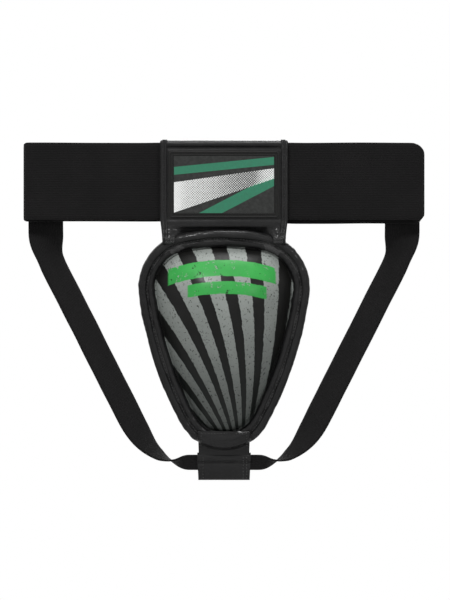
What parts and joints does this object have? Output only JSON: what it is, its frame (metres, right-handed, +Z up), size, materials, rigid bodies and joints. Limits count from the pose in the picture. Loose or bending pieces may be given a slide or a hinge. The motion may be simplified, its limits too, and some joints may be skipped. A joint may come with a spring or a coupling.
{
  "type": "groin protector",
  "caption": "Padded protective cup with a domed shell, hung from a wide elastic waistband with two leg straps that meet in a leather keeper under the cup.",
  "frame": {"origin": "middle of the flattened waistband loop", "axes": "+X along the waistband to the right of the front view, +Y towards the wearer, +Z up"},
  "size_m": [0.391, 0.0747, 0.333],
  "materials": {
    "elastic": "woven ribbed elastic, matte",
    "leather_black": "grained synthetic leather, satin",
    "foam": "soft foam",
    "lining": "knitted lining",
    "label_rubber": "moulded rubber, satin",
    "label_print": "screen print under a clear film",
    "thread": "bonded thread",
    "printed_shell": "satin lacquer over a print"
  },
  "bodies": {
    "belt": {"waistband": "elastic", "yoke_cover": "leather_black", "yoke_foam": "foam", "binding_left": "leather_black", "binding_right": "leather_black", "label_base": "label_rubber", "label_frame": "label_rubber", "label_inlay": "label_print", "strap_end_left": "elastic", "strap_end_right": "elastic"},
    "cup": {"apron": "leather_black", "bar_tack_left": "thread", "bar_tack_right": "thread", "cup_shell": "printed_shell", "shell_liner": "lining", "rim_core": "foam", "rim_cover": "leather_black", "back_lining": "lining", "tab_front": "leather_black", "tab_back": "leather_black", "leg_strap_left": "elastic", "leg_strap_right": "elastic"},
    "keeper": {"keeper": "leather_black", "crosspiece": "elastic"}
  },
  "joints": [
    {"name": "cup_tilt", "type": "hinge", "parent": "belt", "child": "cup", "pos_m": [0, -0.006, -0.0429], "axis": [1, 0, 0], "range_deg": [-50, 15]},
    {"name": "keeper_fold", "type": "hinge", "parent": "cup", "child": "keeper", "pos_m": [0, 0.02322, -0.26488], "axis": [1, 0, 0], "range_deg": [-35, 35]}
  ]
}
